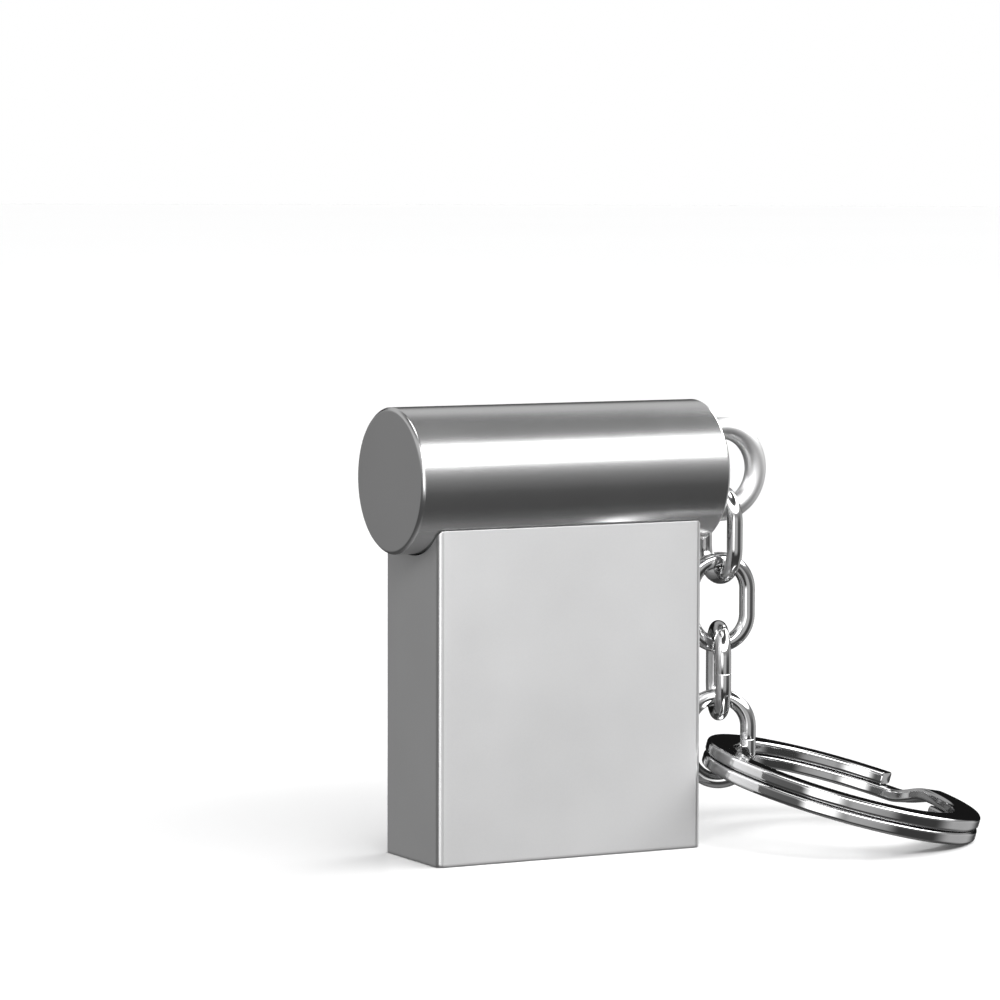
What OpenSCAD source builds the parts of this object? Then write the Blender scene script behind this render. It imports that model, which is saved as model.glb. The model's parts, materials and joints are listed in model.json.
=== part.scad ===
// Capped metal USB flash drive with a round barrel head, a short chain and a split key ring.
// Millimetres. +X runs along the barrel towards the key eye, +Z is up, the front is -Y.
// The origin is the centre of the cap's bottom face, which the drive stands on.

/* [Barrel] */
// Outer diameter of the barrel
barrel_d = 9; // [8.8:0.1:9.2]
// Length of the barrel over its two end caps
barrel_l = 21.6; // [21.4:0.1:22]
// Height of the barrel's axis above the cap's bottom face
barrel_z = 23.45; // [23.3:0.05:23.6]
// Wall of the barrel tube
barrel_wall = 0.5; // [0.45:0.01:0.5]
// Thickness of each end cap's disc
end_cap_t = 1.1; // [1:0.05:1.2]
// Chamfer round each end cap's outer rim
rim_chamfer = 0.18; // [0.1:0.02:0.3]

/* [Cap] */
// Width of the cap, along the barrel
cap_w = 18.5; // [18.3:0.1:18.7]
// Thickness of the cap, front to back
cap_t = 7.2; // [7.1:0.05:7.4]
// Wall of the metal cap
cap_wall = 0.5; // [0.4:0.05:0.55]
// Radius of the cap's upright edges
cap_edge_r = 0.4; // [0.2:0.05:0.5]
// Gap between the cap's saddle mouth and the barrel
mouth_gap = 0.1; // [0.08:0.01:0.15]

/* [USB plug] */
// Width of the plug shell, as the USB-A standard sets it
plug_w = 12; // [11.95:0.01:12.05]
// Thickness of the plug shell, as the USB-A standard sets it
plug_t = 4.5; // [4.45:0.01:4.55]
// Sheet thickness of the plug shell
plug_sheet = 0.3; // [0.28:0.01:0.32]
// Height of the plug's tip above the cap's bottom face
plug_tip_z = 2; // [1.9:0.05:2.1]

/* [Key eye and chain] */
// Diameter of the key eye's wire
eye_wire = 1.36; // [1.3:0.02:1.4]
// Outer diameter of the key eye
eye_d = 6.6; // [6.5:0.05:6.7]
// Distance from the barrel's end face to the centre of the eye
eye_offset = 1.8; // [1.7:0.05:1.9]
// Diameter of the chain links' wire
link_wire = 1; // [0.95:0.01:1]
// Outer length of a chain link
link_l = 6.4; // [6.3:0.05:6.5]
// Outer width of a chain link
link_w = 4.8; // [4.7:0.05:4.9]

/* [Split ring] */
// Outer diameter of the split ring
ring_d = 18; // [17.8:0.1:18.2]
// Radial width of the ring's flat wire
coil_w = 1.75; // [1.7:0.01:1.8]
// Height of one turn of the ring's flat wire
coil_h = 0.8; // [0.75:0.01:0.82]
// Direction from the chain to the ring's centre, about Z from +X
ring_turn = -32; // [-34:0.5:-30]

/* [Hidden] */
$fn = 96;

// Barrel
barrel_r = barrel_d / 2;
bore_r = barrel_r - barrel_wall;
tube_l = barrel_l - 2 * end_cap_t;
spigot_r = bore_r - 0.03;
spigot_l = 1.1;
spigot_wall = 0.7;

// Cap and its plastic liner
cap_floor = 0.5;
cap_block_h = barrel_z - barrel_r / 2;
cavity_w = cap_w - 2 * cap_wall;
cavity_t = cap_t - 2 * cap_wall;
cavity_r = 0.5;
liner_floor_z = 1.3;
liner_top_z = 14.6;
liner_gap = 0.03;
pocket_gap = 0.15;
grip_rib = [0.1, 0.6];
core_out = [1.3, 3.8];
core_out_x = plug_w / 2 + pocket_gap + 0.6 + core_out.x / 2;

// Neck between the barrel and the plug
neck_w = 17;
neck_t = 5.8;
neck_z = 14.95;
neck_edge_r = 0.8;
tongue_w = 13.6;
tongue_t = 5.4;
tongue_top_z = 20.6;
slot_gap = 0.05;
seat_gap = 0.02;

// Plug shell: rounded tube with two latch windows on each broad face and a seam at the back
plug_edge_r = 0.6;
plug_in_w = plug_w - 2 * plug_sheet;
plug_in_t = plug_t - 2 * plug_sheet;
window = [2.5, 2.25];
window_spacing = 5.12;
window_from_tip = 5.16;
seam_w = 0.1;

// One-piece memory module, with its contacts facing the front
module_w = 11.3;
module_z0 = plug_tip_z + 0.2;
module_z1 = module_z0 + 24.8;
board_y = 0.05;
board_t = 0.3;
mould_y = board_y + board_t;
mould_t = 1.1;
pad_w = 1;
pad_top_z = plug_tip_z + 8.7;
outer_pad = [3.5, 7.4];
inner_pad = [1, 6.4];

// Carrier and stopper inside the plug shell
insert_w = 10.8;
insert_gap = 0.02;
carrier_y = mould_y + mould_t + insert_gap;
carrier_z0 = plug_tip_z + 0.05;
stopper_z0 = plug_tip_z + 12.5;
insert_top_z = 20.4;

// Parts inside the moulding: sizes along X, Y and Z
die_size = [7.6, 0.12, 10];
die_step = 0.35;
die_count = 4;
die_z0 = 9.4;
controller_size = [3.4, 0.35, 3];
controller_z0 = 5;
crystal_size = [2, 0.5, 1.6];
crystal_at = [3.6, 21.2];
capacitor_size = [0.5, 0.5, 1];
capacitor_count = 6;
capacitor_x0 = -4.6;
capacitor_step = 1.1;
capacitor_z0 = 21.4;

// Plastic cores that clamp the module inside the barrel
core_r = bore_r - 0.04;
core_l = tube_l - 2 * spigot_l - 0.2;
core_pin_d = 1.2;
core_pin_l = 1;
core_pin_x = core_l / 2 - 0.85;
core_pin_gap = 0.02;

// Key eye
eye_x = barrel_l / 2 + eye_offset;
eye_r = (eye_d - eye_wire) / 2;
eye_root_x = barrel_l / 2 - 0.6;
eye_bottom_z = barrel_z - eye_r;

// Chain: each link hangs on the one above it
hang_gap = 0.04;
link_r = (link_w - link_wire) / 2;
link_straight = link_l - link_w;
link_half = link_straight / 2 + link_r;
link_count = 4;
first_turn = 90;
link_turn = (ring_turn + 270) / (link_count - 1);
first_link_z = eye_bottom_z + (eye_wire + link_wire) / 2 + hang_gap - link_half;
link_pitch = 2 * link_half - link_wire - hang_gap;

// Split ring: two flat turns, one over the other, joined by a short cranked stretch
coil_gap = 0.05;
coil_edge_r = 0.22;
ring_r = (ring_d - coil_w) / 2;
crank_at = 52;
crank_angle = 22;
crank_lap = 1.5;
turn_angle = 334;
ring_seat = link_wire / 2 + 1.25;
ring_hold_z = first_link_z - (link_count - 1) * link_pitch - link_half + ring_seat;
far_edge = [2 * ring_r + coil_w / 2 - coil_edge_r, coil_h + coil_gap / 2 - coil_edge_r];
floor_gap = 0.02;
ring_tilt = asin((ring_hold_z - coil_edge_r - floor_gap) / norm(far_edge)) - atan2(far_edge.y, far_edge.x);
crank_slope = asin((coil_h + coil_gap) / 2 / (ring_r * sin(crank_angle / 2)));

// Colours
satin_metal = "#b9babb";
bright_metal = "#d9dadc";
polished_metal = "#8f9092";
black_plastic = "#2b2b2d";
white_plastic = "#d9d8d2";
board_green = "#20402c";
epoxy_black = "#17181a";
contact_gold = "#d2aa4c";
silicon = "#5b6070";

// A round bar along X, centred on X, at the barrel's height
module bar_x(r, l) {
    translate([0, 0, barrel_z]) rotate([0, 90, 0]) cylinder(r = r, h = l, center = true);
}

// A rectangle with round corners, centred
module rounded_rect(w, t, r) {
    square([w - 2 * r, t], center = true);
    square([w, t - 2 * r], center = true);
    for (x = [-1, 1], y = [-1, 1]) translate([x * (w / 2 - r), y * (t / 2 - r)]) circle(r = r);
}

// An upright bar of that section between two heights
module upright(w, t, r, z0, z1) {
    translate([0, 0, z0]) linear_extrude(z1 - z0) rounded_rect(w, t, r);
}

// A box centred on X, between two values of Y and two of Z
module slab(w, y0, y1, z0, z1) {
    translate([-w / 2, y0, z0]) cube([w, y1 - y0, z1 - z0]);
}

module cap_shell() color(bright_metal) difference() {
    upright(cap_w, cap_t, cap_edge_r, 0, cap_block_h);
    upright(cavity_w, cavity_t, cavity_r, cap_floor, cap_block_h + 1);
    bar_x(barrel_r + mouth_gap, cap_w + 2);
}

module cap_liner() color(white_plastic) {
    pocket_w = plug_w + 2 * pocket_gap;
    difference() {
        upright(cavity_w - 2 * liner_gap, cavity_t - 2 * liner_gap, cavity_r, cap_floor, liner_top_z);
        upright(pocket_w, plug_t + 2 * pocket_gap, plug_edge_r, liner_floor_z, liner_top_z + 1);
        for (side = [-1, 1]) translate([side * core_out_x, 0, 0])
            upright(core_out.x, core_out.y, 0.4, liner_floor_z, liner_top_z + 1);
    }
    for (side = [-1, 1], y = [-1, 1])
        translate([side * (pocket_w - grip_rib.x) / 2, y, liner_floor_z])
            linear_extrude(liner_top_z - liner_floor_z - 1) square(grip_rib, center = true);
}

module barrel_tube() color(satin_metal) difference() {
    bar_x(barrel_r, tube_l);
    bar_x(bore_r, tube_l + 2);
    slab(tongue_w + 2 * slot_gap, -tongue_t / 2 - slot_gap, tongue_t / 2 + slot_gap,
         barrel_z - barrel_r - 1, barrel_z - 2);
}

// A full-diameter end cap with a chamfered rim and a spigot inside the tube; side is 1 or -1
module end_cap(side) {
    outline = [
        [0, 0], [barrel_r - rim_chamfer, 0], [barrel_r, -rim_chamfer], [barrel_r, -end_cap_t],
        [spigot_r, -end_cap_t], [spigot_r, -end_cap_t - spigot_l],
        [spigot_r - spigot_wall, -end_cap_t - spigot_l], [spigot_r - spigot_wall, -end_cap_t],
        [0, -end_cap_t],
    ];
    translate([side * barrel_l / 2, 0, barrel_z]) rotate([0, side * 90, 0])
        rotate_extrude() polygon(outline);
}

// The eye's wire loop as far in as root_x, grown by grow
module eye_loop(root_x, grow) {
    intersection() {
        translate([eye_x, 0, barrel_z]) rotate([90, 0, 0])
            rotate_extrude() translate([eye_r, 0]) circle(d = eye_wire + 2 * grow);
        translate([root_x, -eye_d, barrel_z - eye_d]) cube(2 * eye_d);
    }
}

module left_end_cap() color(satin_metal) end_cap(-1);

module right_end_cap() color(satin_metal) difference() {
    end_cap(1);
    eye_loop(eye_root_x, seat_gap);
}

module key_eye() color(bright_metal) eye_loop(eye_root_x, 0);

// Half of the round core; side is -1 for the front and 1 for the back
module core_half(side) {
    difference() {
        intersection() {
            bar_x(core_r, core_l);
            translate([-core_l, side < 0 ? -barrel_d : 0, 0]) cube([2 * core_l, barrel_d, 2 * barrel_z]);
        }
        slab(tongue_w + 2 * slot_gap, -tongue_t / 2 - slot_gap, tongue_t / 2 + slot_gap,
             0, tongue_top_z + slot_gap);
    }
}

module core_pins(d, l) {
    for (side = [-1, 1]) translate([side * core_pin_x, 0, barrel_z])
        rotate([-90, 0, 0]) cylinder(d = d, h = l);
}

module core_front() color(black_plastic) {
    core_half(-1);
    core_pins(core_pin_d, core_pin_l);
}

module core_back() color(black_plastic) difference() {
    core_half(1);
    core_pins(core_pin_d + 2 * core_pin_gap, core_pin_l + 0.1);
    slab(module_w + 2 * insert_gap, -1, mould_y + mould_t + insert_gap, 0, module_z1 + insert_gap);
}

module neck_collar() color(black_plastic) difference() {
    union() {
        difference() {
            upright(neck_w, neck_t, neck_edge_r, neck_z, cap_block_h);
            bar_x(barrel_r + seat_gap, barrel_l);
        }
        upright(tongue_w, tongue_t, neck_edge_r, neck_z, tongue_top_z);
    }
    upright(plug_w + 2 * seat_gap, plug_t + 2 * seat_gap, plug_edge_r, neck_z - 1, tongue_top_z + 1);
}

module plug_shell() color(bright_metal) difference() {
    upright(plug_w, plug_t, plug_edge_r, plug_tip_z, tongue_top_z);
    upright(plug_in_w, plug_in_t, plug_edge_r - plug_sheet, plug_tip_z - 1, tongue_top_z + 1);
    for (side = [-1, 1])
        translate([side * window_spacing / 2 - window.x / 2, -plug_t, plug_tip_z + window_from_tip])
            cube([window.x, 2 * plug_t, window.y]);
    slab(seam_w, 0, plug_t, plug_tip_z - 1, tongue_top_z + 1);
}

module plug_carrier() color(white_plastic) {
    slab(insert_w, carrier_y, plug_in_t / 2 - insert_gap, carrier_z0, insert_top_z);
    slab(insert_w, board_y, plug_in_t / 2 - insert_gap, carrier_z0, module_z0 - insert_gap);
}

module plug_stopper() color(white_plastic)
    slab(insert_w, insert_gap - plug_in_t / 2, board_y - insert_gap, stopper_z0, insert_top_z);

module module_board() color(board_green)
    slab(module_w, board_y, mould_y, module_z0, module_z1);

module contact_pads() color(contact_gold)
    for (pad = [outer_pad, inner_pad], side = [-1, 1])
        translate([side * pad[0], 0, 0]) slab(pad_w, 0, board_y, pad_top_z - pad[1], pad_top_z);

module controller_die() color(silicon)
    translate([0, mould_y, controller_z0])
        translate([-controller_size.x / 2, 0, 0]) cube(controller_size);

// Memory dies stacked like stairs, so that each leaves its bonding edge free
module flash_die_stack() color(silicon)
    for (i = [0 : die_count - 1])
        translate([-die_size.x / 2, mould_y + i * die_size.y, die_z0 + i * die_step]) cube(die_size);

module module_crystal() color(bright_metal)
    translate([crystal_at.x - crystal_size.x / 2, mould_y, crystal_at.y]) cube(crystal_size);

module chip_capacitors() color("#b39a76")
    for (i = [0 : capacitor_count - 1])
        translate([capacitor_x0 + i * capacitor_step, mould_y, capacitor_z0]) cube(capacitor_size);

module module_mould() color(epoxy_black) difference() {
    slab(module_w, mould_y, mould_y + mould_t, module_z0, module_z1);
    controller_die();
    flash_die_stack();
    module_crystal();
    chip_capacitors();
}

// Chain link number n, counted from 0 at the eye
module link(n) color(polished_metal)
    translate([eye_x, 0, first_link_z - n * link_pitch])
        rotate([0, 0, first_turn + n * link_turn]) rotate([90, 0, 0])
            for (end = [0, 180]) rotate([0, 0, end]) {
                translate([0, link_straight / 2, 0])
                    rotate_extrude(angle = 180) translate([link_r, 0]) circle(d = link_wire);
                translate([link_r, 0, 0]) rotate([90, 0, 0])
                    cylinder(d = link_wire, h = link_straight, center = true);
            }

// A flat stretch of the ring's wire from one angle through another, at height z
module coil_arc(from, through, z) {
    rotate([0, 0, from]) rotate_extrude(angle = through)
        translate([ring_r, z]) rounded_rect(coil_w, coil_h, coil_edge_r);
}

// The ring lies in its own plane here, with its centre at the origin; the chain holds it at -X
module ring_turns() {
    level = (coil_h + coil_gap) / 2;
    upper_end = crank_at - crank_angle / 2;
    lower_end = crank_at + crank_angle / 2;
    coil_arc(upper_end + crank_lap - turn_angle, turn_angle, level);
    coil_arc(lower_end - crank_lap, turn_angle, -level);
    rotate([0, 0, crank_at]) rotate([-crank_slope, 0, 0]) coil_arc(-crank_angle / 2, crank_angle, 0);
}

module split_ring() color(polished_metal)
    translate([eye_x, 0, ring_hold_z]) rotate([0, 0, ring_turn]) rotate([0, ring_tilt, 0])
        translate([ring_r, 0, 0]) ring_turns();

cap_shell();
cap_liner();
barrel_tube();
left_end_cap();
right_end_cap();
key_eye();
core_front();
core_back();
neck_collar();
plug_shell();
plug_carrier();
plug_stopper();
module_board();
module_mould();
contact_pads();
controller_die();
flash_die_stack();
module_crystal();
chip_capacitors();
link(0);  // link_1
link(1);  // link_2
link(2);  // link_3
link(3);  // link_4
split_ring();
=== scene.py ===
"""Looks of the capped USB flash drive: detailed pieces, procedural materials, a white studio and the camera.

Lengths are in metres, in the CAD model's own frame: +X along the barrel, +Z up, the front is -Y.
"""

import json
import math

import bmesh
import bpy
from mathutils import Matrix, Vector


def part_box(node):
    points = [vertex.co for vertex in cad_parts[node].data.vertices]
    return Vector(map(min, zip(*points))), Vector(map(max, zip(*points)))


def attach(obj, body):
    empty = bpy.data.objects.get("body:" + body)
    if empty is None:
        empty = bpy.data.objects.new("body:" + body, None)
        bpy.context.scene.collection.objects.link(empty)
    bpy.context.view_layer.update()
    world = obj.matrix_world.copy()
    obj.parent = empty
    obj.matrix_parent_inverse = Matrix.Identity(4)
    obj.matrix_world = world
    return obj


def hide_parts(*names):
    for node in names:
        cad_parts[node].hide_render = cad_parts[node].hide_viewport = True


MM = 0.001

# Camera: where it looks from, and how
CAMERA_AZIMUTH = -27.93
CAMERA_ELEVATION = 4.5
CAMERA_DISTANCE = 279.6 * MM
CAMERA_TARGET = Vector((-3.15, 0, 22.03)) * MM
CAMERA_ROLL = 0.16
CAMERA_LENS = 163.0
CAMERA_SENSOR = 36.0

# Sizes that the frame's boxes don't give
BEVEL_SEGMENTS = 2
BARREL_WALL = 0.5 * MM
SPIGOT_GAP = 0.03 * MM
SPIGOT_WALL = 0.7 * MM
DISC_STEPS = 192
DISC_CENTRE = 0.02 * MM
MERGE_BELOW = 0.0005 * MM
FLAT_BELOW = 0.5
RIM_CHAMFER = 0.18 * MM
CAP_WALL = 0.5 * MM
CAP_EDGE = 0.4 * MM
CAP_FOOT_EDGE = 0.12 * MM
CAP_LIP_EDGE = 0.03 * MM
CAP_INSIDE_CORNER = 0.5 * MM
LEAST_CORNER = 0.05 * MM
MOUTH_GAP = 0.1 * MM
SLOT_SIDE_GAP = 0.05 * MM
TONGUE = (13.6 * MM, 5.4 * MM)
EYE_WIRE = 1.36 * MM
EYE_STEPS = 140
EYE_WIRE_STEPS = 40
LINK_WIRE = 1.0 * MM
LINK_LENGTH = 6.4 * MM
LINK_WIDTH = 4.8 * MM
LINK_BEND_STEPS = 48
COIL_WIDTH = 1.75 * MM
COIL_HEIGHT = 0.8 * MM
COIL_GAP = 0.05 * MM
COIL_EDGE = 0.22 * MM
CRANK_AT = 52.0
CRANK_ANGLE = 22.0
CRANK_LAP = 1.5
TURN_ANGLE = 334.0
TURN_STEPS = 200
CRANK_STEPS = 36
CUT_LENGTH = 0.4
CUT_SHRINK = 0.1
COIL_STOP_GAP = 0.03 * MM
PLUG_SHEET = 0.3 * MM
PLUG_CORNER = 0.6 * MM
PLUG_WINDOW = (2.5 * MM, 2.25 * MM)
PLUG_WINDOW_SPACING = 5.12 * MM
PLUG_WINDOW_FROM_TIP = 5.16 * MM
PLUG_SEAM = 0.1 * MM
PLUG_LEAD = 0.5 * MM
PLUG_EDGE = 0.04 * MM

# The chain, from the eye to the ring, and the direction of its first link about Z
LINK_BODIES = ("first_link", "second_link", "third_link", "fourth_link")
FIRST_LINK_TURN = 90.0

# CAD nodes that only need their edges rounded: node, body, material slot, radius
SOFTENED = (
    ("cap_liner", "cap", "white_plastic", 0.08 * MM),
    ("neck_collar", "drive", "black_plastic", 0.08 * MM),
    ("plug_carrier", "drive", "white_plastic", 0.06 * MM),
    ("plug_stopper", "drive", "white_plastic", 0.06 * MM),
    ("module_board", "drive", "board_laminate", 0.02 * MM),
    ("contact_pads", "drive", "contact_gold", 0.01 * MM),
)

FLOOR_RADIUS = 3.0
FLOOR_STEPS = 96

# Studio: brightness at each elevation in degrees
WORLD_BANDS = (
    (-90, 0.30), (-62, 0.20), (-52, 0.10), (-41, 0.065), (-16, 0.065), (4, 0.16), (16, 0.30), (27, 0.5),
    (43, 0.5), (52, 0.2), (57, 0.09), (66, 0.1), (90, 0.3),
)
# Softboxes and cards: azimuth and elevation of the middle, half width, half height, soft edge, brightness.
# Angles are in degrees, and azimuth 0 is the front.
PANELS = (
    ("key", 38, 36, 84, 6, 7, 7.0),
    ("right", 92, -12, 14, 10, 24, 0.5),
    ("left", -46, 5, 8, 8, 12, 2.4),
    ("front_left", -8, -3, 14, 10, 14, 0.5),
    ("top", 0, 90, 180, 13, 5, 3.3),
    ("back_left", -152, -5, 30, 14, 8, 0.09),
    ("back_card", 150, 8, 32, 10, 8, -0.3),
)

# Materials: features per metre of the slow drift, how much the grain and the drift count, where the drift is
# at its darkest and lightest, the share of its roughness that a worn edge keeps, and the width of its fading
DRIFT = 160.0
FINE_SHARE = 0.4
SLOW_SHARE = 0.6
DARK_STOP = 0.3
LIGHT_STOP = 0.7
WORN = 0.6
WEAR_FADE = 0.08 * MM


# ---------------------------------------------------------------- mesh tools


def finish_mesh(obj, edge=0.0, sharp=35.0):
    """Rounds the sharp edges of a piece and shades the rest smooth."""
    mesh = obj.data
    work = bmesh.new()
    work.from_mesh(mesh)
    loose = [v for v in work.verts if not v.link_faces]
    bmesh.ops.delete(work, geom=loose, context="VERTS")
    bmesh.ops.recalc_face_normals(work, faces=work.faces)
    work.to_mesh(mesh)
    work.free()
    mesh.shade_smooth()
    mesh.set_sharp_from_angle(angle=math.radians(sharp))
    if edge:
        bevel = obj.modifiers.new("edge", "BEVEL")
        bevel.width = edge
        bevel.segments = BEVEL_SEGMENTS
        bevel.limit_method = "ANGLE"
        bevel.angle_limit = math.radians(sharp)
        bevel.harden_normals = True
        apply_modifiers(obj)
    return obj


def apply_modifiers(obj):
    """Puts the result of the piece's modifiers into its mesh."""
    bpy.context.view_layer.update()
    seen = obj.evaluated_get(bpy.context.evaluated_depsgraph_get())
    mesh = bpy.data.meshes.new_from_object(seen)
    obj.modifiers.clear()
    obj.data = mesh


def new_piece(name, vertices, faces, material):
    mesh = bpy.data.meshes.new(name)
    mesh.from_pydata(vertices, [], faces)
    mesh.materials.append(material)
    obj = bpy.data.objects.new(name, mesh)
    bpy.context.scene.collection.objects.link(obj)
    return obj


def rings_mesh(name, rings, material, closed=False):
    """A skin over rings of points that match.
    Its ends are closed with a fan of faces, or if closed is true its last ring meets its first."""
    count = len(rings[0])
    vertices = [p for ring in rings for p in ring]
    faces = []
    last = len(rings) if closed else len(rings) - 1
    for r in range(last):
        low = r * count
        high = (r + 1) % len(rings) * count
        for c in range(count):
            n = (c + 1) % count
            faces.append((low + c, low + n, high + n, high + c))
    if not closed:
        for first, ring in ((0, rings[0]), (count * (len(rings) - 1), rings[-1])):
            middle = len(vertices)
            vertices.append(sum(ring, Vector()) / count)
            for c in range(count):
                faces.append((middle, first + c, first + (c + 1) % count))
    return new_piece(name, vertices, faces, material)


def wall_mesh(name, outer, inner, is_open, material):
    """A thin wall between two grids of points that match. Rows run along and columns go round.
    is_open(row, column) says that the cell after that row and column is a hole."""
    rows = len(outer)
    columns = len(outer[0])
    vertices = [p for grid in (outer, inner) for row in grid for p in row]
    faces = []

    def at(layer, row, column):
        return (layer * rows + row) * columns + column % columns

    def solid(row, column):
        return 0 <= row < rows - 1 and not is_open(row, column % columns)

    for r in range(rows - 1):
        for c in range(columns):
            if not solid(r, c):
                continue
            corners = [(r, c), (r, c + 1), (r + 1, c + 1), (r + 1, c)]
            beside = [(r - 1, c), (r, c + 1), (r + 1, c), (r, c - 1)]
            faces.append([at(0, *p) for p in corners])
            faces.append([at(1, *p) for p in reversed(corners)])
            for k in range(4):
                if not solid(*beside[k]):
                    start = corners[k]
                    end = corners[(k + 1) % 4]
                    faces.append([at(0, *end), at(0, *start), at(1, *start), at(1, *end)])
    return new_piece(name, vertices, faces, material)


def sweep_mesh(name, stations, section, material, closed=False):
    """A bar of one section. Each station is (middle, side, up, share of the section's size)."""
    rings = [
        [middle + side * (u * share) + up * (v * share) for u, v in section]
        for middle, side, up, share in stations
    ]
    return rings_mesh(name, rings, material, closed=closed)


def circle_section(diameter, steps=28):
    return [
        (math.cos(2 * math.pi * k / steps) * diameter / 2, math.sin(2 * math.pi * k / steps) * diameter / 2)
        for k in range(steps)
    ]


def rounded_outline(width, depth, radius, stops_x=(), stops_y=(), corner_steps=6):
    """The points of a rectangle with round corners, counterclockwise from its right side.
    stops_x and stops_y are where else points lie on its long and short sides, from low to high."""
    x = width / 2 - radius
    y = depth / 2 - radius
    sides = [
        [(width / 2, s) for s in stops_y],
        [(s, depth / 2) for s in reversed(stops_x)],
        [(-width / 2, s) for s in reversed(stops_y)],
        [(s, -depth / 2) for s in stops_x],
    ]
    middles = [(x, y), (-x, y), (-x, -y), (x, -y)]
    points = []
    for k in range(4):
        points += sides[k]
        for step in range(corner_steps + 1):
            a = math.pi / 2 * (k + step / corner_steps)
            points.append((middles[k][0] + radius * math.cos(a), middles[k][1] + radius * math.sin(a)))
    return points


def even(low, high, count):
    """count + 1 even steps from low to high, both included."""
    return [low + (high - low) * k / count for k in range(count + 1)]


def smooth_step(t):
    t = min(max(t, 0.0), 1.0)
    return t * t * (3 - 2 * t)


def softened(node, name, material, edge):
    """A piece with the CAD node's shape and finely rounded edges."""
    source = frame["nodes"][node]
    mesh = source.data.copy()
    mesh.name = name
    mesh.materials.clear()
    mesh.materials.append(material)
    obj = bpy.data.objects.new(name, mesh)
    bpy.context.scene.collection.objects.link(obj)
    work = bmesh.new()
    work.from_mesh(mesh)
    bmesh.ops.remove_doubles(work, verts=work.verts, dist=MERGE_BELOW)
    flat = math.radians(FLAT_BELOW)
    bmesh.ops.dissolve_limit(work, angle_limit=flat, verts=work.verts, edges=work.edges)
    work.to_mesh(mesh)
    work.free()
    return finish_mesh(obj, edge=edge)


# ---------------------------------------------------------------- materials


class Nodes:
    """Short ways to add and join the nodes of one material or world."""

    def __init__(self, tree):
        self.tree = tree
        tree.nodes.clear()

    def add(self, kind, **settings):
        node = self.tree.nodes.new(kind)
        for key, value in settings.items():
            setattr(node, key, value)
        return node

    def join(self, source, target):
        self.tree.links.new(source, target)

    def math(self, operation, first, second=None):
        node = self.tree.nodes.new("ShaderNodeMath")
        node.operation = operation
        for slot, value in enumerate((first, second)):
            if value is None:
                continue
            if isinstance(value, (int, float)):
                node.inputs[slot].default_value = value
            else:
                self.join(value, node.inputs[slot])
        return node.outputs[0]

    def spread(self, value, low, high):
        """Maps 0 to 1 of a value to low to high."""
        node = self.tree.nodes.new("ShaderNodeMapRange")
        node.inputs["To Min"].default_value = low
        node.inputs["To Max"].default_value = high
        self.join(value, node.inputs["Value"])
        return node.outputs["Result"]

    def noise(self, places, scale, detail=3.0, roughness=0.5):
        """Noise with its own size along each axis: scale holds features per metre."""
        mapping = self.tree.nodes.new("ShaderNodeMapping")
        mapping.inputs["Scale"].default_value = scale
        self.join(places, mapping.inputs["Vector"])
        node = self.tree.nodes.new("ShaderNodeTexNoise")
        node.inputs["Scale"].default_value = 1.0
        node.inputs["Detail"].default_value = detail
        node.inputs["Roughness"].default_value = roughness
        self.join(mapping.outputs[0], node.inputs["Vector"])
        return node.outputs["Fac"]

    def ramp(self, value, stops):
        """stops are (position, grey or colour)."""
        node = self.tree.nodes.new("ShaderNodeValToRGB")
        colours = node.color_ramp.elements
        while len(colours) < len(stops):
            colours.new(0.5)
        for element, (place, colour) in zip(colours, stops):
            element.position = place
        for element, (place, colour) in zip(colours, stops):
            shade = (colour,) * 3 if isinstance(colour, (int, float)) else colour
            element.color = (*shade, 1)
        self.join(value, node.inputs[0])
        return node.outputs["Color"]

    def bump(self, height, distance):
        node = self.tree.nodes.new("ShaderNodeBump")
        node.inputs["Strength"].default_value = 1.0
        node.inputs["Distance"].default_value = distance
        self.join(height, node.inputs["Height"])
        return node.outputs[0]


def finish_material(
    name, dark, light, rough, grain, grain_depth, metallic=0.0, edges=None, **constants
):
    """A surface whose colour and roughness drift a little, with a fine grain.
    dark and light are linear colours, and rough is (low, high). grain is features per metre along X, Y
    and Z, and grain_depth is in metres. edges is the middle of a box's corner rounding, along X and Y,
    where handling has worn the finish smooth."""
    material = bpy.data.materials.new(name)
    material.use_nodes = True
    nodes = Nodes(material.node_tree)
    places = nodes.add("ShaderNodeTexCoord").outputs["Object"]
    fine = nodes.noise(places, grain, detail=4.0, roughness=0.6)
    slow = nodes.noise(places, (DRIFT,) * 3, detail=2.0)
    shader = nodes.add("ShaderNodeBsdfPrincipled")
    shader.inputs["Metallic"].default_value = metallic
    for key, value in constants.items():
        shader.inputs[key.replace("_", " ")].default_value = value
    fine_part = nodes.math("MULTIPLY", fine, FINE_SHARE)
    slow_part = nodes.math("MULTIPLY", slow, SLOW_SHARE)
    mixed = nodes.math("ADD", fine_part, slow_part)
    colour = nodes.ramp(mixed, [(DARK_STOP, dark), (LIGHT_STOP, light)])
    nodes.join(colour, shader.inputs["Base Color"])
    roughness = nodes.spread(mixed, *rough)
    if edges:
        roughness = nodes.math("MULTIPLY", roughness, worn_edges(nodes, places, *edges))
    nodes.join(roughness, shader.inputs["Roughness"])
    nodes.join(nodes.bump(fine, grain_depth), shader.inputs["Normal"])
    output = nodes.add("ShaderNodeOutputMaterial")
    nodes.join(shader.outputs[0], output.inputs["Surface"])
    return material


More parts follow.
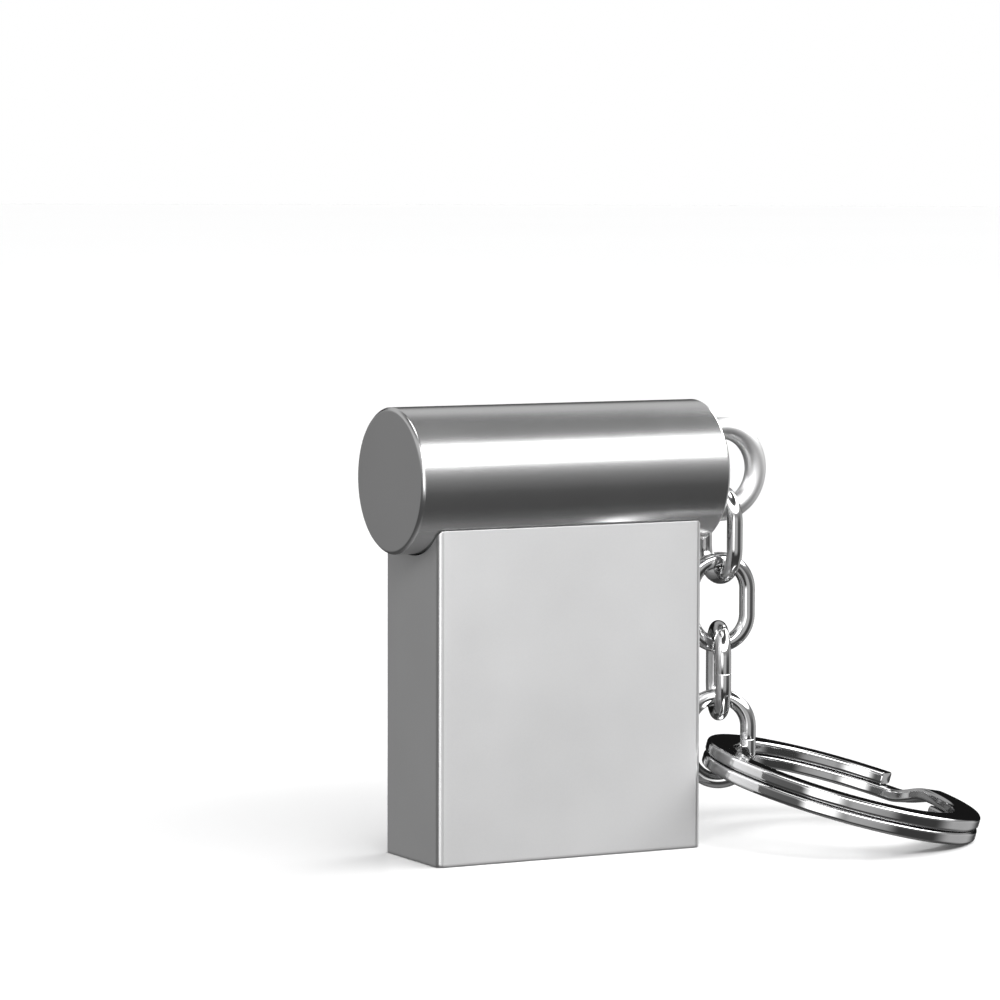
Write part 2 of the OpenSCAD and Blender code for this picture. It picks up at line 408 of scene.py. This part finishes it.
def worn_edges(nodes, places, middle_x, middle_y):
    """1 on the faces of an upright box, falling to WORN on its rounded upright edges."""
    split = nodes.add("ShaderNodeSeparateXYZ")
    nodes.join(places, split.inputs[0])
    out = [
        nodes.math("SUBTRACT", nodes.math("ABSOLUTE", split.outputs[axis]), middle)
        for axis, middle in (("X", middle_x), ("Y", middle_y))
    ]
    kept = nodes.spread(nodes.math("MINIMUM", *out), 1, WORN)
    kept.node.inputs["From Min"].default_value = 0
    kept.node.inputs["From Max"].default_value = WEAR_FADE
    return kept


def grey(value):
    return (value, value, value * 1.003)


def make_materials():
    blasted = (9000, 9000, 9000)
    round_brushed = (900, 14000, 14000)
    cap_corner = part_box("cap_shell")[1]
    cap_edges = (cap_corner.x - CAP_EDGE, cap_corner.y - CAP_EDGE)
    return {
        "cap_metal": finish_material(
            "cap_satin_metal", grey(0.86), grey(0.90), (0.52, 0.58), blasted, 0.0012 * MM, metallic=1.0,
            edges=cap_edges,
        ),
        "barrel_metal": finish_material(
            "barrel_satin_metal", grey(0.82), grey(0.88), (0.19, 0.25), round_brushed, 0.0004 * MM,
            metallic=1.0,
        ),
        "eye_metal": finish_material(
            "eye_satin_metal", grey(0.84), grey(0.90), (0.38, 0.46), blasted, 0.0006 * MM, metallic=1.0
        ),
        "ring_chrome": finish_material(
            "ring_polished_chrome", grey(0.57), grey(0.63), (0.04, 0.10), (3000, 3000, 9000), 0.0002 * MM,
            metallic=1.0,
        ),
        "plug_steel": finish_material(
            "plug_rolled_steel", grey(0.74), grey(0.82), (0.34, 0.46), (12000, 12000, 700), 0.0008 * MM,
            metallic=1.0,
        ),
        "black_plastic": finish_material(
            "black_moulded_plastic", grey(0.012), grey(0.022), (0.38, 0.52), (5200, 5200, 5200), 0.004 * MM
        ),
        "white_plastic": finish_material(
            "white_moulded_plastic", (0.62, 0.61, 0.58), (0.72, 0.71, 0.68), (0.34, 0.46),
            (4200, 4200, 4200), 0.003 * MM, Subsurface_Weight=0.15, Subsurface_Scale=0.4 * MM,
        ),
        "board_laminate": finish_material(
            "board_solder_mask", (0.012, 0.05, 0.024), (0.02, 0.075, 0.036), (0.28, 0.4),
            (2600, 2600, 2600), 0.003 * MM,
        ),
        "epoxy": finish_material(
            "moulded_epoxy", grey(0.010), grey(0.028), (0.44, 0.62), (7000, 7000, 7000), 0.006 * MM
        ),
        "contact_gold": finish_material(
            "contact_gold_plating", (0.78, 0.50, 0.16), (0.88, 0.60, 0.22), (0.2, 0.32),
            (9000, 9000, 1200), 0.0006 * MM, metallic=1.0,
        ),
        "silicon": finish_material(
            "polished_silicon", (0.10, 0.11, 0.14), (0.16, 0.17, 0.21), (0.12, 0.2),
            (3000, 3000, 3000), 0.0004 * MM, metallic=0.6,
        ),
        "ceramic": finish_material(
            "fired_ceramic", (0.32, 0.22, 0.13), (0.44, 0.32, 0.2), (0.5, 0.66),
            (6000, 6000, 6000), 0.003 * MM,
        ),
    }


# ---------------------------------------------------------------- pieces


def set_piece(obj, body, slot, *nodes):
    """Makes obj ride on a body in place of CAD nodes, which it hides. The slot argument is not used."""
    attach(obj, body)
    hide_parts(*nodes)
    return obj


def barrel():
    """The barrel's axis height, radius and half length of its tube, from the frame."""
    low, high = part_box("barrel_tube")
    return (low.z + high.z) / 2, (high.y - low.y) / 2, (high.x - low.x) / 2


def build_cap_shell(material):
    """The cap is one lofted skin: its foot, its walls up to the saddle mouth, the lip and the inside."""
    low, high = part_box("cap_shell")
    width = high.x - low.x
    depth = high.y - low.y
    axis_z, radius, _ = barrel()
    mouth_r = radius + MOUTH_GAP
    straight_y = depth / 2 - CAP_WALL - CAP_EDGE
    side_stops = even(-straight_y, straight_y, 30)
    front_stops = [-width / 2 + CAP_WALL + CAP_EDGE, width / 2 - CAP_WALL - CAP_EDGE]

    def ring(inset, height=None, below_mouth=0.0, corner=None):
        corner = CAP_EDGE - inset if corner is None else corner
        outline = rounded_outline(
            width - 2 * inset, depth - 2 * inset, max(corner, LEAST_CORNER), front_stops, side_stops,
            corner_steps=8,
        )
        mouth = [axis_z - math.sqrt(mouth_r**2 - y**2) - below_mouth for _, y in outline]
        return [Vector((x, y, m if height is None else height)) for (x, y), m in zip(outline, mouth)]

    def quarter(size, steps=3):
        return [(size * (1 - math.sin(a)), size * (1 - math.cos(a))) for a in even(0, math.pi / 2, steps)]

    rings = [ring(2 * CAP_FOOT_EDGE, 0)]
    rings += [ring(inset, height) for inset, height in quarter(CAP_FOOT_EDGE)]
    rings += [ring(0, 2 * CAP_FOOT_EDGE), ring(0, below_mouth=2 * CAP_LIP_EDGE)]
    rings += [ring(inset, below_mouth=drop) for drop, inset in quarter(CAP_LIP_EDGE)]
    rings += [
        ring(CAP_WALL - inset, below_mouth=drop, corner=CAP_INSIDE_CORNER + inset)
        for inset, drop in quarter(CAP_LIP_EDGE)
    ]
    rings += [ring(CAP_WALL, below_mouth=2 * CAP_LIP_EDGE, corner=CAP_INSIDE_CORNER)]
    rings += [ring(CAP_WALL, CAP_WALL, corner=CAP_INSIDE_CORNER)]
    obj = rings_mesh("cap_shell_skin", rings, material)
    return finish_mesh(obj, sharp=50)


def build_barrel_tube(material):
    """The barrel's tube, with the slot for the plug's root in its underside."""
    axis_z, radius, half = barrel()
    inner_r = radius - BARREL_WALL
    slot_x = TONGUE[0] / 2 + SLOT_SIDE_GAP
    slot_y = TONGUE[1] / 2 + SLOT_SIDE_GAP
    slot_steps = 20
    round_steps = 172

    def angles(r):
        edge = math.asin(slot_y / r)
        return even(-edge, edge, slot_steps)[:-1] + even(edge, 2 * math.pi - edge, round_steps)[:-1]

    def grid(r):
        turns = angles(r)
        return [
            [Vector((x, r * math.sin(a), axis_z - r * math.cos(a))) for a in turns]
            for x in (-half, -slot_x, slot_x, half)
        ]

    obj = wall_mesh(
        "barrel_tube_skin", grid(radius), grid(inner_r),
        lambda row, column: row == 1 and column < slot_steps, material,
    )
    return finish_mesh(obj)


def build_end_cap(name, node, side, material):
    """A turned disc with a chamfered rim and fine turned steps where it enters the tube."""
    axis_z, radius, half = barrel()
    low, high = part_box(node)
    face = high.x if side > 0 else -low.x
    spigot_r = radius - BARREL_WALL - SPIGOT_GAP
    inside = -low.x if side > 0 else high.x
    depth = abs(inside)
    soft = RIM_CHAMFER / 4
    rim_x = face - RIM_CHAMFER
    rim_r = radius - RIM_CHAMFER
    profile = [
        (face, DISC_CENTRE), (face, rim_r - 2 * soft), (face, rim_r - soft / 2),
        (face - soft / 2, rim_r + soft / 2), (rim_x + soft / 2, radius - soft / 2),
        (rim_x - soft / 2, radius), (rim_x - 2 * soft, radius), (half, radius),
        (half, spigot_r), (depth, spigot_r), (depth, spigot_r - SPIGOT_WALL),
        (half, spigot_r - SPIGOT_WALL), (half, DISC_CENTRE),
    ]
    turns = [2 * math.pi * k / DISC_STEPS for k in range(DISC_STEPS)]
    rings = [
        [Vector((side * x, r * math.sin(turn), axis_z + r * math.cos(turn))) for turn in turns]
        for x, r in profile
    ]
    obj = rings_mesh(name, rings, material)
    return finish_mesh(obj)


def build_key_eye(material):
    """The bent wire eye. Its two legs end inside the right end cap."""
    axis_z = barrel()[0]
    low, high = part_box("key_eye")
    radius = (high.z - low.z - EYE_WIRE) / 2
    middle = Vector((high.x - EYE_WIRE / 2 - radius, 0, axis_z))
    reach = math.acos((low.x - middle.x) / radius)
    up = Vector((0, 1, 0))
    stations = []
    for a in even(-reach, reach, EYE_STEPS):
        side = Vector((math.cos(a), 0, math.sin(a)))
        stations.append((middle + side * radius, side, up, 1.0))
    obj = sweep_mesh("key_eye_wire", stations, circle_section(EYE_WIRE, EYE_WIRE_STEPS), material)
    return finish_mesh(obj)


def ring_frame():
    """Where the last link holds the split ring, and the ring's centre, direction, side and normal."""
    hold = Vector(next(j["pos_m"] for j in frame["joints"] if j["child"] == "ring"))
    mount = next(m for m in frame["record"]["mounts"] if m["name"] == "key_ring")
    centre = Vector(mount["pos_m"])
    normal = Vector(mount["axis"]).normalized()
    along = (centre - hold).normalized()
    return hold, centre, along, normal.cross(along), normal


def build_link(number, material):
    """An oval chain link. Its wire's two ends meet in a hairline seam on one straight side."""
    low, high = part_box(f"link_{number}")
    middle = (low + high) / 2
    along = ring_frame()[2]
    ring_turn = math.degrees(math.atan2(along.y, along.x))
    turn_step = (ring_turn + 360 - FIRST_LINK_TURN) / (len(LINK_BODIES) - 1)
    turn = math.radians(FIRST_LINK_TURN + (number - 1) * turn_step)
    across = Vector((math.cos(turn), math.sin(turn), 0))
    up = Vector((0, 0, 1))
    normal = across.cross(up)
    bend_r = (LINK_WIDTH - LINK_WIRE) / 2
    straight = (LINK_LENGTH - LINK_WIDTH) / 2
    seam = [(-1, 1), (-0.07, 1), (-0.035, 0.99), (0, 0.95), (0.035, 0.99), (0.07, 1)]
    stations = []
    for end, stops in ((1, seam), (-1, [(-1, 1), (0, 1)])):
        for share, size in stops:
            side = across * end
            stations.append((middle + side * bend_r + up * (end * share * straight), side, normal, size))
        for a in even(0, math.pi, LINK_BEND_STEPS)[:-1]:
            side = (across * math.cos(a) + up * math.sin(a)) * end
            stations.append((middle + side * bend_r + up * (end * straight), side, normal, 1))
    obj = sweep_mesh(f"chain_link_{number}", stations, circle_section(LINK_WIRE), material, closed=True)
    return finish_mesh(obj, sharp=60)


def build_split_ring(material):
    """One length of flat wire in two turns, with an eased crank where it steps from one turn to the other."""
    hold, centre, along, beside, normal = ring_frame()
    radius = (centre - hold).length
    level = (COIL_HEIGHT + COIL_GAP) / 2
    upper_end = CRANK_AT - CRANK_ANGLE / 2
    lower_start = CRANK_AT + CRANK_ANGLE / 2
    first = upper_end + CRANK_LAP - TURN_ANGLE
    last = lower_start - CRANK_LAP + TURN_ANGLE
    cut = CUT_LENGTH
    turns = [first, first + cut * 0.5, first + cut]
    turns += even(first + 2 * cut, upper_end, TURN_STEPS)
    turns += even(upper_end, lower_start, CRANK_STEPS)[1:]
    turns += even(lower_start, last - 2 * cut, TURN_STEPS)[1:]
    turns += [last - cut, last - cut * 0.5, last]
    stations = []
    for turn in turns:
        share = (turn - upper_end) / CRANK_ANGLE
        height = level * (1 - 2 * smooth_step(share))
        inside = 0 < share < 1
        fall = -2 * level * 6 * share * (1 - share) / math.radians(CRANK_ANGLE) if inside else 0
        slope = math.atan2(fall, radius)
        a = math.radians(turn)
        out = along * math.cos(a) + beside * math.sin(a)
        ahead = beside * math.cos(a) - along * math.sin(a)
        up = normal * math.cos(slope) - ahead * math.sin(slope)
        to_end = min(turn - first, last - turn) / cut
        size = 1 - CUT_SHRINK * (1 - smooth_step(to_end)) if to_end < 1 else 1
        stations.append((centre + out * radius + normal * height, out, up, size))
    stop_x = COIL_WIDTH / 2 - COIL_EDGE - COIL_STOP_GAP
    stop_y = COIL_HEIGHT / 2 - COIL_EDGE - COIL_STOP_GAP
    section = rounded_outline(COIL_WIDTH, COIL_HEIGHT, COIL_EDGE, [-stop_x, stop_x], [-stop_y, stop_y])
    obj = sweep_mesh("split_ring_wire", stations, section, material)
    return finish_mesh(obj, sharp=50)


def build_plug_shell(material):
    """The USB shell: bent sheet steel with four latch windows, a seam at the back and a tapered lead-in."""
    low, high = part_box("plug_shell")
    width = high.x - low.x
    depth = high.y - low.y
    edge = PLUG_WINDOW_SPACING / 2
    window_stops = [side * edge + end * PLUG_WINDOW[0] / 2 for side in (-1, 1) for end in (-1, 1)]
    stops = sorted(window_stops + [-PLUG_SEAM / 2, PLUG_SEAM / 2])
    window_low = low.z + PLUG_WINDOW_FROM_TIP
    window_high = window_low + PLUG_WINDOW[1]
    rows = [
        (low.z, 0.12 * MM), (low.z + PLUG_LEAD * 0.4, 0.05 * MM), (low.z + PLUG_LEAD, 0),
        (window_low, 0), (window_high, 0), (high.z, 0),
    ]

    def grid(inset, corner):
        return [
            [
                Vector((x, y, z))
                for x, y in rounded_outline(
                    width - 2 * (inset + taper), depth - 2 * (inset + taper), corner, stops, (0,)
                )
            ]
            for z, taper in rows
        ]

    outline = rounded_outline(width, depth, PLUG_CORNER, stops_x=stops, stops_y=(0,))
    window_row = 3

    def is_open(row, column):
        (x0, y0), (x1, y1) = outline[column], outline[(column + 1) % len(outline)]
        flat = abs(y0 - y1) < 0.001 * MM and abs(y0) > depth / 2 - 0.001 * MM
        x = abs(x0 + x1) / 2
        in_window = row == window_row and abs(x - edge) < PLUG_WINDOW[0] / 2
        return flat and (in_window or (y0 > 0 and x < PLUG_SEAM / 2))

    outside = grid(0, PLUG_CORNER)
    inside = grid(PLUG_SHEET, PLUG_CORNER - PLUG_SHEET)
    obj = wall_mesh("plug_shell_sheet", outside, inside, is_open, material)
    return finish_mesh(obj, edge=PLUG_EDGE)


def build_pieces(materials):
    set_piece(build_cap_shell(materials["cap_metal"]), "cap", "cap_metal", "cap_shell")
    set_piece(build_barrel_tube(materials["barrel_metal"]), "drive", "barrel_metal", "barrel_tube")
    for name, side in (("left_end_cap", -1), ("right_end_cap", 1)):
        disc = build_end_cap(name + "_disc", name, side, materials["barrel_metal"])
        set_piece(disc, "drive", "barrel_metal", name)
    set_piece(build_key_eye(materials["eye_metal"]), "drive", "eye_metal", "key_eye")
    set_piece(build_plug_shell(materials["plug_steel"]), "drive", "plug_steel", "plug_shell")
    for number, body in enumerate(LINK_BODIES, 1):
        set_piece(build_link(number, materials["ring_chrome"]), body, "ring_chrome", f"link_{number}")
    set_piece(build_split_ring(materials["ring_chrome"]), "ring", "ring_chrome", "split_ring")
    for node, body, slot, edge in SOFTENED:
        set_piece(softened(node, node + "_moulded", materials[slot], edge), body, slot, node)


def dress_nodes(materials):
    """Every CAD node takes the material of its slot in the record. Those that no piece replaces show it."""
    for entry in frame["record"]["subparts"]:
        mesh = frame["nodes"][entry["node"]].data
        mesh.materials.clear()
        mesh.materials.append(materials[entry["material_slot"]])


# ---------------------------------------------------------------- studio


def build_floor():
    """A plain pale floor. Reflections skip it and meet the world's dark lower half, like a black card."""
    material = bpy.data.materials.new("floor_white")
    material.use_nodes = True
    nodes = Nodes(material.node_tree)
    places = nodes.add("ShaderNodeTexCoord").outputs["Object"]
    shader = nodes.add("ShaderNodeBsdfPrincipled")
    shader.inputs["Specular IOR Level"].default_value = 0.12
    shader.inputs["Roughness"].default_value = 0.3
    drift = nodes.noise(places, (3, 3, 3))
    nodes.join(nodes.ramp(drift, [(0, 0.9), (1, 0.92)]), shader.inputs["Base Color"])
    output = nodes.add("ShaderNodeOutputMaterial")
    nodes.join(shader.outputs[0], output.inputs["Surface"])
    turns = [2 * math.pi * k / FLOOR_STEPS for k in range(FLOOR_STEPS)]
    points = [Vector((FLOOR_RADIUS * math.cos(a), FLOOR_RADIUS * math.sin(a), 0)) for a in turns]
    floor = new_piece("studio_floor", points, [list(range(FLOOR_STEPS))], material)
    floor.visible_glossy = False


def elevation_stop(degrees):
    """Where a direction at this elevation lies on a ramp that runs from straight down to straight up."""
    return (math.sin(math.radians(degrees)) + 1) / 2


def build_world():
    """White to the camera. Reflections see soft horizontal bands with softboxes and dark cards in them."""
    world = bpy.data.worlds.new("studio")
    bpy.context.scene.world = world
    world.use_nodes = True
    nodes = Nodes(world.node_tree)
    direction = nodes.add("ShaderNodeTexCoord").outputs["Generated"]
    split = nodes.add("ShaderNodeSeparateXYZ")
    nodes.join(direction, split.inputs[0])
    upward = split.outputs["Z"]
    height = nodes.spread(upward, 0, 1)
    height.node.inputs["From Min"].default_value = -1
    light = nodes.ramp(height, [(elevation_stop(e), v) for e, v in WORLD_BANDS])
    elevation = nodes.math("ARCSINE", upward)
    for _, azimuth, middle, half_width, half_height, soft, brightness in PANELS:
        turn = math.radians(azimuth)
        ahead = dot(nodes, direction, (math.sin(turn), -math.cos(turn), 0))
        aside = dot(nodes, direction, (math.cos(turn), math.sin(turn), 0))
        off = nodes.math("ABSOLUTE", nodes.math("ARCTAN2", aside, ahead))
        tilt = nodes.math("ABSOLUTE", nodes.math("SUBTRACT", elevation, math.radians(middle)))
        across = window(nodes, off, half_width, soft)
        along = window(nodes, tilt, half_height, soft)
        share = nodes.math("MULTIPLY", across, along)
        light = nodes.math("ADD", light, nodes.math("MULTIPLY", share, brightness))
    light = nodes.math("MAXIMUM", light, 0.01)
    seen = nodes.add("ShaderNodeLightPath").outputs["Is Camera Ray"]
    shade = nodes.add("ShaderNodeMix", data_type="FLOAT")
    nodes.join(seen, shade.inputs["Factor"])
    nodes.join(light, shade.inputs["A"])
    shade.inputs["B"].default_value = 1.0
    background = nodes.add("ShaderNodeBackground")
    background.inputs["Color"].default_value = (1, 1, 1, 1)
    nodes.join(shade.outputs["Result"], background.inputs["Strength"])
    output = nodes.add("ShaderNodeOutputWorld")
    nodes.join(background.outputs[0], output.inputs["Surface"])


def dot(nodes, direction, toward):
    """How far a direction points along another."""
    product = nodes.add("ShaderNodeVectorMath", operation="DOT_PRODUCT")
    product.inputs[1].default_value = toward
    nodes.join(direction, product.inputs[0])
    return product.outputs["Value"]


def window(nodes, angle, half, soft):
    """1 inside half degrees, falling smoothly to 0 over soft degrees further out."""
    node = nodes.tree.nodes.new("ShaderNodeMapRange")
    node.interpolation_type = "SMOOTHSTEP"
    node.inputs["From Min"].default_value = math.radians(half)
    node.inputs["From Max"].default_value = math.radians(half + soft)
    node.inputs["To Min"].default_value = 1
    node.inputs["To Max"].default_value = 0
    nodes.join(angle, node.inputs["Value"])
    return node.outputs["Result"]


def build_camera():
    data = bpy.data.cameras.new("camera")
    data.lens = CAMERA_LENS
    data.sensor_width = CAMERA_SENSOR
    data.clip_start = 0.01
    camera = bpy.data.objects.new("camera", data)
    bpy.context.scene.collection.objects.link(camera)
    a = math.radians(CAMERA_AZIMUTH)
    e = math.radians(CAMERA_ELEVATION)
    back = Vector((math.sin(a) * math.cos(e), -math.cos(a) * math.cos(e), math.sin(e)))
    camera.location = CAMERA_TARGET + back * CAMERA_DISTANCE
    turn = back.to_track_quat("Z", "Y").to_matrix() @ Matrix.Rotation(math.radians(CAMERA_ROLL), 3, "Z")
    camera.rotation_euler = turn.to_euler()
    bpy.context.scene.camera = camera


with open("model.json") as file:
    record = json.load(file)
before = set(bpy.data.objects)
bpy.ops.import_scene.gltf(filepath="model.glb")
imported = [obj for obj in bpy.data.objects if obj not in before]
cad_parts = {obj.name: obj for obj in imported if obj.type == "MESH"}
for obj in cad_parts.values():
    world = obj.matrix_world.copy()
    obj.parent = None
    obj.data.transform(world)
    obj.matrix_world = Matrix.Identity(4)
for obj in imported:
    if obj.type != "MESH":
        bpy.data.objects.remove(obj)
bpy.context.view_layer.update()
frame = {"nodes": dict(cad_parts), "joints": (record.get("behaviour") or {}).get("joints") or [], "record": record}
bpy.context.scene.view_settings.view_transform = "Standard"
build_camera()
build_world()
build_floor()
finishes = make_materials()
build_pieces(finishes)
dress_nodes(finishes)
